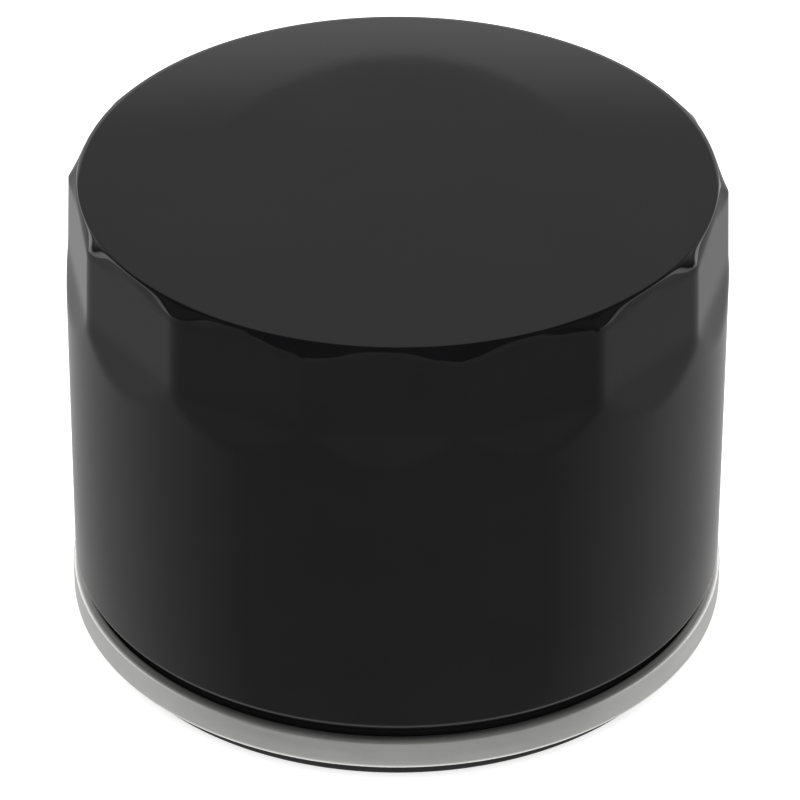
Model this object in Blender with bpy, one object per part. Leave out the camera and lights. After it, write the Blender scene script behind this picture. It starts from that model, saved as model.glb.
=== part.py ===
"""Spin-on oil filter of a small engine, standing on its gasket with the closed end of the can up.

Z = 0 is the sealing face of the gasket and the Z axis is the axis of the thread. Sizes are in
millimetres, and MM turns them into metres where a mesh is made.
"""

import math

import bmesh
import bpy
from mathutils import Matrix, Vector

MM = 0.001

# The can: a deep-drawn cup with wrench flats pressed in round its closed end.
CAN_RADIUS = 38.0
CAN_TOP = 57.7
CAN_SHEET = 0.4
SHOULDER = 1.6
RIM_RADIUS = 36.2
FLAT_COUNT = 14
FLAT_APOTHEM = 36.5
FLAT_DRAFT = 0.036
FLAT_LENGTH = 10.5
FLAT_RUNOUT = 4.8
OUTER_STEPS = 4 * FLAT_COUNT
# An edge between two flats lies half a flat away from -Y.
OUTER_START = math.radians(-90.0 + 180.0 / FLAT_COUNT)

# The double seam, from the inside out: lid, can wall, lid hook, can hook, lid.
SEAM_RADIUS = 38.3
SEAM_BOTTOM = 2.4
SEAM_TOP = 6.2
NECK_RADIUS = 36.93
NECK_TOP = 7.9
SEAM_SHEET = 0.35
LID_SHEET = 0.4
LID_WALL = 36.1
LID_HOLE = 23.5
LID_FLOOR = 5.1

# The gasket stands proud of the seam.
GASKET_OUTER = 36.0
GASKET_INNER = 31.0
GASKET_HEIGHT = 5.0

# The base plate, with a 3/4-16 UNF thread in its collar.
PLATE_RADIUS = 36.3
PLATE_BOTTOM = 5.6
PLATE_TOP = 8.4
COLLAR_RADIUS = 12.2
COLLAR_TOP = 13.5
THREAD_PITCH = 25.4 / 16.0
THREAD_MINOR = 8.8
THREAD_MAJOR = 9.525
THREAD_MOUTH = 10.3
INLET_COUNT = 8
INLET_RADIUS = 2.7
INLET_CIRCLE = 17.5

# The rubber valve that covers the inlet holes from inside.
VALVE_TOP = 14.3
VALVE_LIP = 25.6

# The filter element.
CAP_RADIUS = 31.3
CAP_SHEET = 0.4
CAP_RIM = 3.4
LOWER_CAP = 14.5
UPPER_CAP = 46.4
LOWER_CAP_HOLE = 10.0
POTTING = 1.2
POTTING_INNER = 13.7
POTTING_OUTER = 30.4
PLEATS = 44
PLEAT_INNER = 14.6
PLEAT_OUTER = 29.9
PAPER = 0.67
TUBE_RADIUS = 13.2
TUBE_SHEET = 0.6
TUBE_COLUMNS = 8
TUBE_ROWS = 5
TUBE_HOLE = 1.6
INNER_STEPS = 32

# The bypass valve under the upper end cap.
BOSS_RADIUS = 12.2
BOSS_RISE = 0.5
BYPASS_HOLE = 4.6
DISC_RADIUS = 7.6
DISC_TOP = 45.6
CAGE_RADIUS = 9.0
CAGE_BOTTOM = 36.4
SMALL_STEPS = 24

# The coil springs: wire diameter, mean coil radius, turns.
BYPASS_SPRING = (0.8, 4.2, 4.5)
ELEMENT_SPRING = (2.0, 15.0, 2.5)

TOUCH = 0.1


def steel(name, colour, roughness):
    return finish(name, colour, roughness, 1.0)


def finish(name, colour, roughness, metallic=0.0):
    material = bpy.data.materials.new(name)
    material.use_nodes = True
    shader = material.node_tree.nodes["Principled BSDF"]
    shader.inputs["Base Color"].default_value = (*colour, 1.0)
    shader.inputs["Roughness"].default_value = roughness
    shader.inputs["Metallic"].default_value = metallic
    return material


def add_piece(name, bm, material, seat, holder=None):
    """Turns bm, in millimetres, into an object whose origin is on the axis at the height of its seat."""
    bmesh.ops.recalc_face_normals(bm, faces=bm.faces)
    bmesh.ops.translate(bm, verts=bm.verts, vec=(0.0, 0.0, -seat))
    bmesh.ops.scale(bm, verts=bm.verts, vec=(MM, MM, MM))
    mesh = bpy.data.meshes.new(name)
    bm.to_mesh(mesh)
    bm.free()
    mesh.shade_smooth()
    mesh.set_sharp_from_angle(angle=math.radians(30.0))
    mesh.materials.append(material)
    piece = bpy.data.objects.new(name, mesh)
    piece.location.z = seat * MM
    piece.parent = holder
    bpy.context.scene.collection.objects.link(piece)
    return piece


def spin_outline(outline, steps, start=0.0, closed=True):
    """Turns an outline of (radius, height) points about Z. An open one begins and ends on the axis."""
    bm = bmesh.new()
    points = [bm.verts.new((r * math.cos(start), r * math.sin(start), z)) for r, z in outline]
    lines = [bm.edges.new(pair) for pair in zip(points, points[1:])]
    if closed:
        lines.append(bm.edges.new((points[-1], points[0])))
    bmesh.ops.spin(
        bm, geom=points + lines, cent=(0, 0, 0), axis=(0, 0, 1), angle=math.tau, steps=steps, use_merge=True
    )
    bmesh.ops.remove_doubles(bm, verts=bm.verts, dist=0.001)
    return bm


def arc(centre, radius, first, last, steps):
    """Points of an arc in the (radius, height) plane, angles in degrees from the outward direction."""
    angles = [math.radians(first + (last - first) * i / steps) for i in range(steps + 1)]
    return [(centre[0] + radius * math.cos(a), centre[1] + radius * math.sin(a)) for a in angles]


def flat_squeeze(point):
    """How much the wrench flats draw in a point of the plain can: 1 where they don't reach it."""
    depth = max(CAN_TOP - point.z, SHOULDER)
    apothem = FLAT_APOTHEM + FLAT_DRAFT * min(depth, FLAT_LENGTH)
    if depth > FLAT_LENGTH:
        apothem += (CAN_RADIUS - apothem) * (depth - FLAT_LENGTH) / FLAT_RUNOUT
    flat = math.tau / FLAT_COUNT
    turn = (math.atan2(point.y, point.x) + math.pi / 2) % flat
    away = min(turn, flat - turn)
    return min(1.0, apothem / (CAN_RADIUS * math.cos(away)))


def press_flats(bm, lowest):
    """Presses the flats in above a height. Over the shoulder they fade out, so the rim stays round."""
    for v in bm.verts:
        radius = v.co.xy.length
        if v.co.z < lowest or radius < RIM_RADIUS + 0.01:
            continue
        squeeze = flat_squeeze(v.co)
        if v.co.z > CAN_TOP - SHOULDER + 0.01:
            over = (radius - RIM_RADIUS) / (CAN_RADIUS - RIM_RADIUS)
            weight = (CAN_TOP - v.co.z) / SHOULDER
            mean = FLAT_APOTHEM + 0.35 - RIM_RADIUS
            grow = mean + (squeeze * CAN_RADIUS - RIM_RADIUS - mean) * weight
            squeeze = (RIM_RADIUS + over * grow) / radius
        v.co.xy *= squeeze


def make_can_shell(material):
    top, sheet, inner = CAN_TOP, CAN_SHEET, CAN_RADIUS - CAN_SHEET
    flat_rows = (top - FLAT_LENGTH, top - FLAT_LENGTH - FLAT_RUNOUT)
    hook_inner = NECK_RADIUS - SEAM_SHEET
    outline = [(0.0, top)]
    for step in range(4):
        turn = math.radians(30.0 * step)
        wide = RIM_RADIUS + (CAN_RADIUS - RIM_RADIUS) * math.sin(turn)
        outline.append((wide, top - SHOULDER * (1.0 - math.cos(turn))))
    outline += [(CAN_RADIUS, z) for z in flat_rows]
    outline += [(CAN_RADIUS, NECK_TOP), (37.35, 6.95), (NECK_RADIUS, 6.4)]
    # The hook that the lid folds round, and back up inside.
    outline += [(NECK_RADIUS, 3.35), (37.42, 3.35), (37.42, 4.6), (37.77, 4.6), (37.77, 3.2), (37.55, 2.9)]
    outline += [(36.8, 2.9), (hook_inner, 3.2), (hook_inner, 6.55)]
    outline += [(36.98, 7.15), (inner, NECK_TOP + 0.1)]
    outline += [(inner, z) for z in reversed(flat_rows)]
    outline += [(inner, top - SHOULDER), (RIM_RADIUS - 0.3, top - sheet), (0.0, top - sheet)]
    bm = spin_outline(outline, OUTER_STEPS, OUTER_START, closed=False)
    press_flats(bm, flat_rows[-1])
    add_piece("can_shell", bm, material, SEAM_BOTTOM)


def make_seaming_lid(material):
    wall, sheet, floor = LID_WALL, LID_SHEET, LID_FLOOR
    hook_inner, hook_outer, skin = 37.0, 37.35, 37.85
    outside = [(LID_HOLE, floor), (27.6, floor), (28.5, 2.4), (29.5, 2.4), (30.4, floor), (wall, floor)]
    outside += [(wall, 2.9), (36.5, SEAM_BOTTOM), (37.95, SEAM_BOTTOM), (SEAM_RADIUS, 2.75)]
    outside += [(SEAM_RADIUS, SEAM_TOP - 0.35), (38.05, SEAM_TOP), (37.2, SEAM_TOP), (hook_inner, 5.95)]
    inside = [(hook_inner, 3.9), (hook_outer, 3.9), (hook_outer, 5.5), (37.5, 5.75), (37.7, 5.75)]
    inside += [(skin, 5.5), (skin, 3.05), (37.6, 2.8), (36.75, 2.8), (wall + sheet, 3.05)]
    inside += [(wall + sheet, floor + sheet), (30.1, floor + sheet), (29.2, 2.8), (28.8, 2.8)]
    inside += [(27.9, floor + sheet), (LID_HOLE, floor + sheet)]
    bm = spin_outline(outside + inside, OUTER_STEPS, OUTER_START)
    add_piece("seaming_lid", bm, material, SEAM_BOTTOM)


def make_seam_sealant(material):
    outline = [(37.43, 4.68), (37.77, 4.68), (37.77, 5.25), (37.43, 5.25)]
    add_piece("seam_sealant", spin_outline(outline, OUTER_STEPS, OUTER_START), material, 4.68)


def make_gasket(material):
    edge = 0.3
    inner, outer, height = GASKET_INNER, GASKET_OUTER, GASKET_HEIGHT
    outline = [(inner, edge), (inner + edge, 0.0), (outer - edge, 0.0), (outer, edge)]
    outline += [(outer, height), (inner, height)]
    add_piece("gasket", spin_outline(outline, OUTER_STEPS, OUTER_START), material, 0.0)


def thread_radius(angle, z):
    """The wall of the threaded hole: a right-hand groove of quarter-pitch lands, with a chamfered mouth."""
    turns = (z / THREAD_PITCH - angle / math.tau) % 1.0
    height = min(max(abs(turns * 4.0 - 2.0) - 0.5, 0.0), 1.0)
    groove = THREAD_MINOR + (THREAD_MAJOR - THREAD_MINOR) * height
    mouth = THREAD_MOUTH - (z - PLATE_BOTTOM)
    inner_end = THREAD_MOUTH - 1.0 - (COLLAR_TOP - z)
    return max(groove, mouth, inner_end)


def thread_wall(bm):
    """Adds the threaded wall, and returns the closed rings of points at its two ends."""
    rows = math.ceil((COLLAR_TOP - PLATE_BOTTOM) / THREAD_PITCH + 1) * 4
    first = math.floor(PLATE_BOTTOM / THREAD_PITCH - 1) * 4
    breaks = (0.125, 0.375, 0.625, 0.875)
    made = {}

    def point(step, row):
        z = (row // 4 + breaks[row % 4] + step / INNER_STEPS) * THREAD_PITCH
        z = min(max(z, PLATE_BOTTOM), COLLAR_TOP)
        key = (step % INNER_STEPS, round(z, 4))
        if key not in made:
            angle = math.tau * step / INNER_STEPS
            r = thread_radius(angle, z)
            made[key] = bm.verts.new((r * math.cos(angle), r * math.sin(angle), z))
        return made[key]

    for step in range(INNER_STEPS):
        for row in range(first, first + rows + 4):
            corners = [point(step, row), point(step + 1, row), point(step + 1, row + 1), point(step, row + 1)]
            corners = [v for i, v in enumerate(corners) if v is not corners[i - 1]]
            if len(corners) > 2:
                bm.faces.new(corners)
    ends = (round(PLATE_BOTTOM, 4), round(COLLAR_TOP, 4))
    return [[made[step, z] for step in range(INNER_STEPS)] for z in ends]


def make_base_plate(material):
    bm = bmesh.new()
    bottom, top = thread_wall(bm)
    outline = [(PLATE_RADIUS - 0.3, PLATE_BOTTOM), (PLATE_RADIUS, PLATE_BOTTOM + 0.3)]
    outline += [(PLATE_RADIUS, PLATE_TOP - 0.3), (PLATE_RADIUS - 0.3, PLATE_TOP)]
    outline += [(COLLAR_RADIUS + 0.4, PLATE_TOP), (COLLAR_RADIUS, PLATE_TOP + 0.4)]
    outline += [(COLLAR_RADIUS, COLLAR_TOP - 0.3), (COLLAR_RADIUS - 0.3, COLLAR_TOP)]
    rings = [bottom]
    for r, z in outline:
        angles = [math.tau * step / INNER_STEPS for step in range(INNER_STEPS)]
        rings.append([bm.verts.new((r * math.cos(a), r * math.sin(a), z)) for a in angles])
    rings.append(top)
    for low, high in zip(rings, rings[1:]):
        for i in range(INNER_STEPS):
            bm.faces.new((low[i - 1], low[i], high[i], high[i - 1]))
    plate = add_piece("base_plate", bm, material, PLATE_BOTTOM)
    cut(plate, "inlet_cutter", inlet_drills())


def inlet_drills():
    bm = bmesh.new()
    for i in range(INLET_COUNT):
        turn = Matrix.Rotation(math.tau * (i + 0.5) / INLET_COUNT, 4, "Z")
        place = turn @ Matrix.Translation((INLET_CIRCLE, 0.0, (PLATE_BOTTOM + PLATE_TOP) / 2))
        bmesh.ops.create_cone(
            bm, cap_ends=True, segments=16, radius1=INLET_RADIUS, radius2=INLET_RADIUS, depth=6.0, matrix=place
        )
    return bm


def cut(piece, name, bm):
    """Takes the cutter in bm, in millimetres, out of the piece."""
    cutter = add_piece(name, bm, piece.active_material, 0.0, piece.parent)
    cutter.hide_render = True
    cutter.display_type = "WIRE"
    modifier = piece.modifiers.new(name, "BOOLEAN")
    modifier.operation = "DIFFERENCE"
    modifier.object = cutter


def make_anti_drainback_valve(material, holder):
    """A hub round the collar, an inner lip over its end, and a flap that rests on the base plate."""
    hub, hole = COLLAR_RADIUS + 0.3, LOWER_CAP_HOLE + 0.4
    outline = [(hub, PLATE_TOP + 0.35), (hub, COLLAR_TOP + 0.15), (hole, COLLAR_TOP + 0.15), (hole, VALVE_TOP)]
    outline += [(15.8, VALVE_TOP), (15.8, 13.3), (14.2, 12.8), (14.2, 11.8), (15.0, 11.4)]
    outline += [(VALVE_LIP - 1.4, 9.6), (VALVE_LIP, 9.1), (VALVE_LIP, PLATE_TOP + TOUCH)]
    outline += [(VALVE_LIP - 1.0, PLATE_TOP + TOUCH), (VALVE_LIP - 1.7, 8.75), (14.9, 10.3), (14.2, 9.9)]
    outline += [(14.2, PLATE_TOP + 0.35)]
    bm = spin_outline(outline, INNER_STEPS)
    add_piece("anti_drainback_valve", bm, material, PLATE_TOP, holder)


def make_lower_end_cap(material, holder):
    low, inside, rim = LOWER_CAP, LOWER_CAP + CAP_SHEET, LOWER_CAP + CAP_RIM
    bore = CAP_RADIUS - CAP_SHEET
    outline = [(LOWER_CAP_HOLE, low), (CAP_RADIUS - 0.4, low), (CAP_RADIUS, low + 0.4), (CAP_RADIUS, rim)]
    outline += [(bore, rim), (bore, inside), (LOWER_CAP_HOLE, inside)]
    add_piece("lower_end_cap", spin_outline(outline, INNER_STEPS), material, low, holder)


def make_upper_end_cap(material, holder):
    """The closed end of the element, with a raised boss that carries the bypass valve."""
    top, inside, rim = UPPER_CAP, UPPER_CAP - CAP_SHEET, UPPER_CAP - CAP_RIM
    bore = CAP_RADIUS - CAP_SHEET
    outline = [(BYPASS_HOLE, top + BOSS_RISE), (BOSS_RADIUS, top + BOSS_RISE), (BOSS_RADIUS + 0.6, top)]
    outline += [(CAP_RADIUS - 0.4, top), (CAP_RADIUS, top - 0.4), (CAP_RADIUS, rim), (bore, rim)]
    outline += [(bore, inside), (BOSS_RADIUS + 0.4, inside), (BOSS_RADIUS - 0.2, inside + BOSS_RISE)]
    outline += [(BYPASS_HOLE, inside + BOSS_RISE)]
    add_piece("upper_end_cap", spin_outline(outline, INNER_STEPS), material, inside, holder)


def make_potting(name, low, material, holder):
    """The adhesive that the paper's edge is set in, inside an end cap."""
    outline = [(POTTING_INNER, low), (POTTING_OUTER, low), (POTTING_OUTER, low + POTTING)]
    outline += [(POTTING_INNER, low + POTTING)]
    add_piece(name, spin_outline(outline, INNER_STEPS), material, low, holder)


def make_pleated_media(low, high, material, holder):
    """Filter paper folded into pleats: a ring of folds, each side of the paper drawn as one closed line."""
    narrow, fold = 0.08, 1.3
    wide = narrow + PAPER
    bm = bmesh.new()
    loops = []
    for z in (low, high):
        outer_side, inner_side = [], []
        for i in range(PLEATS):
            crest = math.tau * i / PLEATS
            root = crest + math.pi / PLEATS
            outer_side += fold_points(bm, PLEAT_OUTER, crest, wide, z)
            outer_side += fold_points(bm, PLEAT_INNER + fold, root, narrow, z)
            inner_side += fold_points(bm, PLEAT_OUTER - fold, crest, narrow, z)
            inner_side += fold_points(bm, PLEAT_INNER, root, wide, z)
        loops.append((outer_side, inner_side))
    (outer_low, inner_low), (outer_high, inner_high) = loops
    for first, second in (
        (outer_low, outer_high), (outer_high, inner_high), (inner_high, inner_low), (inner_low, outer_low)
    ):
        for i in range(len(first)):
            bm.faces.new((first[i - 1], first[i], second[i], second[i - 1]))
    add_piece("pleated_media", bm, material, low, holder)


def fold_points(bm, radius, angle, half_width, z):
    spread = half_width / radius
    angles = (angle - spread, angle + spread)
    return [bm.verts.new((radius * math.cos(a), radius * math.sin(a), z)) for a in angles]


def make_seam_clip(low, high, material, holder):
    """A channel crimped over one fold, where the two ends of the paper meet."""
    deep, tip, sheet = 27.0, PLEAT_OUTER + 0.1, 0.3
    outline = [(deep, -1.65), (deep, -1.35), (tip, -0.95), (tip, 0.95), (deep, 1.35), (deep, 1.65)]
    outline += [(tip + sheet, 1.25), (tip + sheet, -1.25)]
    bm = bmesh.new()
    face = bm.faces.new([bm.verts.new((x, y, low)) for x, y in outline])
    grown = bmesh.ops.extrude_face_region(bm, geom=[face])["geom"]
    raised = [v for v in grown if isinstance(v, bmesh.types.BMVert)]
    bmesh.ops.translate(bm, verts=raised, vec=(0.0, 0.0, high - low))
    add_piece("media_seam_clip", bm, material, low, holder)


def make_center_tube(low, high, material, holder):
    """A steel tube with rows of round holes: each hole is an octagon in a square patch of the wall."""
    across, up = math.tau / TUBE_COLUMNS, (high - low) / TUBE_ROWS
    edge = [(-1, -1), (0, -1), (1, -1), (1, 0), (1, 1), (0, 1), (-1, 1), (-1, 0)]
    bm = bmesh.new()

    def ring(radius, column, row, hole):
        angle, z = across * (column + 0.5), low + up * (row + 0.5)
        points = []
        for x, y in edge:
            if hole:
                length = math.hypot(x, y)
                turn = angle + TUBE_HOLE * x / length / TUBE_RADIUS
                points.append((radius, turn, z + TUBE_HOLE * y / length))
            else:
                points.append((radius, angle + across / 2 * x, z + up / 2 * y))
        return [bm.verts.new((r * math.cos(a), r * math.sin(a), h)) for r, a, h in points]

    for column in range(TUBE_COLUMNS):
        for row in range(TUBE_ROWS):
            border, rim = [], []
            for radius in (TUBE_RADIUS, TUBE_RADIUS - TUBE_SHEET):
                border.append(ring(radius, column, row, False))
                rim.append(ring(radius, column, row, True))
            pairs = [(border[0], rim[0]), (rim[0], rim[1]), (rim[1], border[1])]
            for first, second in pairs:
                for i in range(len(edge)):
                    bm.faces.new((first[i - 1], first[i], second[i], second[i - 1]))
            ends = ([(1, 0), (2, 1)] if row == 0 else []) + ([(5, 4), (6, 5)] if row == TUBE_ROWS - 1 else [])
            for i, j in ends:
                bm.faces.new((border[0][i], border[0][j], border[1][j], border[1][i]))
    bmesh.ops.remove_doubles(bm, verts=bm.verts, dist=0.001)
    add_piece("center_tube", bm, material, low, holder)


def make_bypass_seat_seal(material, holder):
    low, high = DISC_TOP + TOUCH, UPPER_CAP - CAP_SHEET + BOSS_RISE - TOUCH
    outline = [(BYPASS_HOLE + 0.3, low), (7.3, low), (7.3, high), (BYPASS_HOLE + 0.3, high)]
    add_piece("bypass_seat_seal", spin_outline(outline, SMALL_STEPS), material, low, holder)


def make_bypass_valve_disc(material, holder):
    """A flat disc with a boss below it that centres the spring."""
    under = DISC_TOP - 0.7
    outline = [(0.0, DISC_TOP), (DISC_RADIUS, DISC_TOP), (DISC_RADIUS, under), (3.3, under)]
    outline += [(3.3, under - 0.7), (3.0, under - 1.0), (0.0, under - 1.0)]
    bm = spin_outline(outline, SMALL_STEPS, closed=False)
    add_piece("bypass_valve_disc", bm, material, under, holder)


def make_bypass_cage(material, holder):
    """A cup hung under the end cap that holds the spring, with a hole in its floor and four windows."""
    flange, top = 11.6, UPPER_CAP
    floor, bore = CAGE_BOTTOM + CAP_SHEET, CAGE_RADIUS - CAP_SHEET
    outline = [(2.2, CAGE_BOTTOM), (bore, CAGE_BOTTOM), (CAGE_RADIUS, floor), (CAGE_RADIUS, top - CAP_SHEET)]
    outline += [(flange, top - CAP_SHEET), (flange, top), (bore, top), (bore, floor), (2.2, floor)]
    bm = spin_outline(outline, SMALL_STEPS)
    cage = add_piece("bypass_cage", bm, material, CAGE_BOTTOM, holder)
    windows = bmesh.new()
    bmesh.ops.create_cube(windows, size=1.0)
    bmesh.ops.scale(windows, verts=windows.verts, vec=(40.0, 6.0, 5.0))
    bmesh.ops.translate(windows, verts=windows.verts, vec=(0.0, 0.0, CAGE_BOTTOM + 4.6))
    cut(cage, "window_cutter", windows)
    cross = bmesh.new()
    bmesh.ops.create_cube(cross, size=1.0)
    bmesh.ops.scale(cross, verts=cross.verts, vec=(6.0, 40.0, 5.0))
    bmesh.ops.translate(cross, verts=cross.verts, vec=(0.0, 0.0, CAGE_BOTTOM + 4.6))
    cut(cage, "cross_window_cutter", cross)


def make_spring(name, size, low, high, steps_per_turn, sides, material, holder=None):
    """A compression spring with closed ends: half a turn at each end lies flat."""
    wire, radius, turns = size
    bottom, top = low + wire / 2, high - wire / 2
    count = round(turns * steps_per_turn)
    curve = bpy.data.curves.new(name, "CURVE")
    curve.dimensions = "3D"
    curve.bevel_depth = wire / 2 * MM
    curve.bevel_resolution = sides // 2 - 2
    curve.use_fill_caps = True
    spline = curve.splines.new("POLY")
    spline.points.add(count)
    for i, point in enumerate(spline.points):
        turn = i / steps_per_turn
        rise = min(max((turn - 0.5) / (turns - 1.0), 0.0), 1.0)
        angle = math.tau * turn
        place = Vector((radius * math.cos(angle), radius * math.sin(angle), rise * (top - bottom))) * MM
        point.co = (*place, 1.0)
    curve.materials.append(material)
    spring = bpy.data.objects.new(name, curve)
    spring.location.z = bottom * MM
    spring.parent = holder
    bpy.context.scene.collection.objects.link(spring)


def add_holder(name, parent=None):
    """An empty on the axis that carries the pieces which slide together."""
    holder = bpy.data.objects.new(name, None)
    holder.parent = parent
    bpy.context.scene.collection.objects.link(holder)
    return holder


def build():
    for old in list(bpy.data.objects):
        bpy.data.objects.remove(old, do_unlink=True)

    black_paint = finish("gloss black paint", (0.012, 0.012, 0.013), 0.12)
    tinplate = steel("tin-plated steel", (0.62, 0.62, 0.60), 0.32)
    zinc_plate = steel("zinc-plated steel", (0.55, 0.55, 0.53), 0.38)
    spring_steel = steel("spring steel", (0.36, 0.36, 0.37), 0.3)
    nitrile = finish("nitrile rubber", (0.015, 0.015, 0.016), 0.55)
    silicone = finish("moulded valve rubber", (0.02, 0.02, 0.021), 0.5)
    seam_compound = finish("seam compound", (0.35, 0.36, 0.34), 0.7)
    potting = finish("potting adhesive", (0.30, 0.06, 0.03), 0.5)
    paper = finish("resin-treated paper", (0.62, 0.47, 0.24), 0.85)

    make_can_shell(black_paint)
    make_seaming_lid(tinplate)
    make_seam_sealant(seam_compound)
    make_gasket(nitrile)
    make_base_plate(zinc_plate)

    flap = add_holder("anti_drainback")
    make_anti_drainback_valve(silicone, flap)

    element = add_holder("element")
    lower_bed = LOWER_CAP + CAP_SHEET + TOUCH
    upper_bed = UPPER_CAP - CAP_SHEET - TOUCH
    paper_low, paper_high = lower_bed + POTTING + TOUCH, upper_bed - POTTING - TOUCH
    make_lower_end_cap(tinplate, element)
    make_upper_end_cap(tinplate, element)
    make_potting("lower_potting_ring", lower_bed, potting, element)
    make_potting("upper_potting_ring", upper_bed - POTTING, potting, element)
    make_pleated_media(paper_low, paper_high, paper, element)
    make_seam_clip(paper_low + 0.3, paper_high - 0.3, zinc_plate, element)
    make_center_tube(lower_bed, upper_bed, zinc_plate, element)
    make_bypass_seat_seal(nitrile, element)
    make_bypass_cage(zinc_plate, element)

    bypass = add_holder("bypass", element)
    make_bypass_valve_disc(zinc_plate, bypass)

    spring_floor = CAGE_BOTTOM + CAP_SHEET + TOUCH
    make_spring("bypass_spring", BYPASS_SPRING, spring_floor, DISC_TOP - 0.8, 16, 6, spring_steel, element)
    spring_roof = CAN_TOP - CAN_SHEET - TOUCH
    make_spring("element_spring", ELEMENT_SPRING, UPPER_CAP + TOUCH, spring_roof, 24, 8, spring_steel)


build()
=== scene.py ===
"""Squat spin-on oil filter of a small engine: the finished look of every piece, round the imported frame.

Lengths are in millimetres and MM turns them into metres where a mesh is made. Heights are above
the gasket's sealing face. Where a size has a name here it is read from the frame, or is a detail
too fine for the frame to hold.
"""

import math

import bmesh
import bpy
from mathutils import Matrix, Vector


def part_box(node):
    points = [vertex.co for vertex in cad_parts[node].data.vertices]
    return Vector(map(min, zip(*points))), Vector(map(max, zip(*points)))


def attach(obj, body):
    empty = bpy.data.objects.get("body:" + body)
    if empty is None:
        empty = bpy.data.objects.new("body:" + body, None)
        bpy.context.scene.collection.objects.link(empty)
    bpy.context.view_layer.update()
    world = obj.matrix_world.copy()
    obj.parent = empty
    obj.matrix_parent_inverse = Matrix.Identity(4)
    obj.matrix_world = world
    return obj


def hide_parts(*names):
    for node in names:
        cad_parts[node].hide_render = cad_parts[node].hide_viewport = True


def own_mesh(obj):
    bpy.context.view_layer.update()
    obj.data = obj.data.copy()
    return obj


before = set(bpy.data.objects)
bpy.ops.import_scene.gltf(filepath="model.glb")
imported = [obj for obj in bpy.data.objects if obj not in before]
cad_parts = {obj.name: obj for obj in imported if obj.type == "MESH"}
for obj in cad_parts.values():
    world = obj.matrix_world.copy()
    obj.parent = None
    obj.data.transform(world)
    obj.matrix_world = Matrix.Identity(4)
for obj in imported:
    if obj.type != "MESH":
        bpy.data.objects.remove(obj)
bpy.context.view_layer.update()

MM = 0.001


def span(node):
    """Widest radius, lowest and highest point of a node, in millimetres."""
    low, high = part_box(node)
    return high.x / MM, low.z / MM, high.z / MM


CAN_RADIUS = 38.0
_, _, CAN_TOP = span("can_shell")
SEAM_RADIUS, SEAM_BOTTOM, SEAM_TOP = span("seaming_lid")
GASKET_OUTER, _, GASKET_HEIGHT = span("gasket")
PLATE_RADIUS, PLATE_BOTTOM, COLLAR_TOP = span("base_plate")
VALVE_LIP, _, VALVE_TOP = span("anti_drainback_valve")
CAP_RADIUS, LOWER_CAP, LOWER_CAP_RIM = span("lower_end_cap")
_, UPPER_CAP_RIM, BOSS_TOP = span("upper_end_cap")
_, LOWER_BED, LOWER_BED_TOP = span("lower_potting_ring")
_, UPPER_BED, UPPER_BED_TOP = span("upper_potting_ring")
_, PAPER_LOW, PAPER_HIGH = span("pleated_media")
TUBE_RADIUS, TUBE_LOW, TUBE_HIGH = span("center_tube")
_, CLIP_LOW, CLIP_HIGH = span("media_seam_clip")
_, SEAT_LOW, SEAT_HIGH = span("bypass_seat_seal")
DISC_RADIUS, DISC_BOTTOM, DISC_TOP = span("bypass_valve_disc")
CAGE_FLANGE, CAGE_BOTTOM, CAGE_TOP = span("bypass_cage")

# The can: fourteen flats, 25.7 degrees each, pressed in below the rim of the closed end, which stays round.
FLAT_COUNT = 14
FLAT_ANGLE = math.tau / FLAT_COUNT
RIM_RADIUS = 36.2
RIM_GROW = 0.36
SHOULDER = 1.3
FLAT_APOTHEM = 36.5
FLAT_DRAFT = 0.036
FLAT_LENGTH = 10.5
RUNOUT_SLOPE = 0.2
WALL_DRAFT = 0.12
SHEET = 0.4
PLAIN_DEPTH = 46.0
NECK_RADIUS = 36.93
NECK_TOP = SEAM_TOP + 1.8
HOOK_TOP = 4.6

GASKET_INNER = 31.0
LID_HOLE = 23.5
LID_FLOOR = 5.1
LID_WALL = 36.1
PLATE_TOP = PLATE_BOTTOM + 2.8
COLLAR_RADIUS = 12.2
THREAD_PITCH = 25.4 / 16.0
THREAD_MINOR = 8.8
THREAD_MAJOR = 9.525
INLET_COUNT = 8
INLET_RADIUS = 2.7
INLET_CIRCLE = 17.5

CAP_SHEET = 0.4
LOWER_CAP_HOLE = 10.0
BOSS_RADIUS = 12.2
BYPASS_HOLE = 4.6
PLEATS = 44
PLEAT_INNER = 14.7
PLEAT_OUTER = 29.8
PAPER = 0.5
TUBE_SHEET = 0.6
TUBE_COLUMNS = 8
TUBE_ROWS = 5
TUBE_HOLE = 1.6
CAGE_RADIUS = 9.0

# Facets round a piece: the can and its seam, other wide pieces, small pieces.
FINE = 24 * FLAT_COUNT
ROUND = 128
SMALL = 64


# ---------------------------------------------------------------- modelling helpers


def rounded(outline, closed=True, steps=4):
    """Points of an outline. A corner given as (radius, height, round) is rounded by that much."""
    points = []
    count = len(outline)
    for i, corner in enumerate(outline):
        here = Vector(corner[:2])
        at_end = not closed and i in (0, count - 1)
        if len(corner) == 2 or at_end:
            points.append(here)
            continue
        before = Vector(outline[i - 1][:2]) - here
        after = Vector(outline[(i + 1) % count][:2]) - here
        cut = min(corner[2], 0.48 * before.length, 0.48 * after.length)
        first, last = here + before.normalized() * cut, here + after.normalized() * cut
        for step in range(steps + 1):
            t = step / steps
            points.append(first * (1 - t) ** 2 + here * 2 * t * (1 - t) + last * t * t)
    return points


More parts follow.
